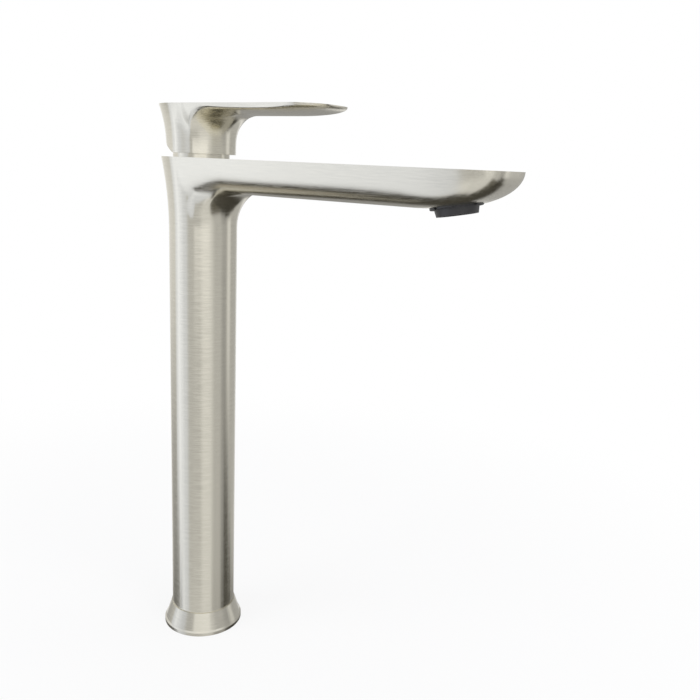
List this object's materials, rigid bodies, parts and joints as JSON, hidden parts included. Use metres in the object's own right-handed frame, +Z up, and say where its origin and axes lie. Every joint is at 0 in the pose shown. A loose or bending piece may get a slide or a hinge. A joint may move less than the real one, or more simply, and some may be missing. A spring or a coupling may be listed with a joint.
{
  "type": "tall basin mixer tap",
  "caption": "Tall deck-mounted basin faucet: round brushed column, long level boat-shaped spout with a swivelling aerator, and a flat lever that turns and lifts on a ceramic-disc valve.",
  "frame": {"origin": "centre of the column's foot on the deck, midway between the two mounting studs' holes", "axes": "+Z up the column, +X forward along the spout and the resting lever, +Y to the left of someone facing +X"},
  "size_m": [0.2215, 0.05, 0.329],
  "materials": {
    "brushed_body": "brushed round the column and along the spout",
    "brushed_ring": "brushed round",
    "seal_rubber": "moulded",
    "raw_brass": "machined",
    "manifold_plastic": "moulded",
    "cartridge_plastic": "moulded",
    "ceramic": "lapped, opaque",
    "plain_steel": "drawn",
    "brushed_collar": "turned, brushed round",
    "bush_plastic": "moulded",
    "brushed_handle": "brushed along the lever",
    "plug_plastic": "moulded",
    "black_plastic": "moulded, satin",
    "grid_plastic": "moulded",
    "regulator_plastic": "moulded"
  },
  "bodies": {
    "base": {"body": "brushed_body", "base_ring": "brushed_ring", "base_gasket": "seal_rubber", "mounting_bridge": "raw_brass", "manifold": "manifold_plastic", "manifold_seals": "seal_rubber", "cartridge_base": "cartridge_plastic", "inlet_port_seals": "seal_rubber", "disc_seals": "seal_rubber", "fixed_disc": "ceramic", "cartridge_housing": "cartridge_plastic", "retaining_nut": "raw_brass", "collar": "brushed_collar", "collar_seal": "seal_rubber", "aerator_holder": "black_plastic", "aerator_seal": "seal_rubber"},
    "rotor": {"cartridge_rotor": "cartridge_plastic", "rotor_seal": "seal_rubber", "spindle_pin": "plain_steel"},
    "disc": {"moving_disc": "ceramic", "disc_carrier": "cartridge_plastic"},
    "lever": {"spindle": "raw_brass", "handle_bush": "bush_plastic", "handle": "brushed_handle", "set_screw": "plain_steel", "screw_plug": "plug_plastic"},
    "outlet": {"nozzle": "black_plastic", "flow_straightener": "grid_plastic", "flow_regulator": "regulator_plastic"}
  },
  "joints": [
    {"name": "lever_turn", "type": "hinge", "parent": "base", "child": "rotor", "pos_m": [-0.0015, 0, 0.298], "axis": [0, 0, 1], "range_deg": [-50, 50]},
    {"name": "lever_lift", "type": "hinge", "parent": "rotor", "child": "lever", "pos_m": [-0.0015, 0, 0.298], "axis": [0, -1, 0], "range_deg": [0, 24]},
    {"name": "disc_slide", "type": "slide", "parent": "rotor", "child": "disc", "axis": [1, 0, 0], "range_m": [0, 0.00314]},
    {"name": "outlet_tilt", "type": "hinge", "parent": "base", "child": "outlet", "pos_m": [0.16603, 0, 0.28758], "axis": [0, 1, 0], "range_deg": [-5, 5]}
  ],
  "couplings": [
    {"joint": "disc_slide", "follows": "lever_lift", "m_per_rad": 0.0074453}
  ]
}
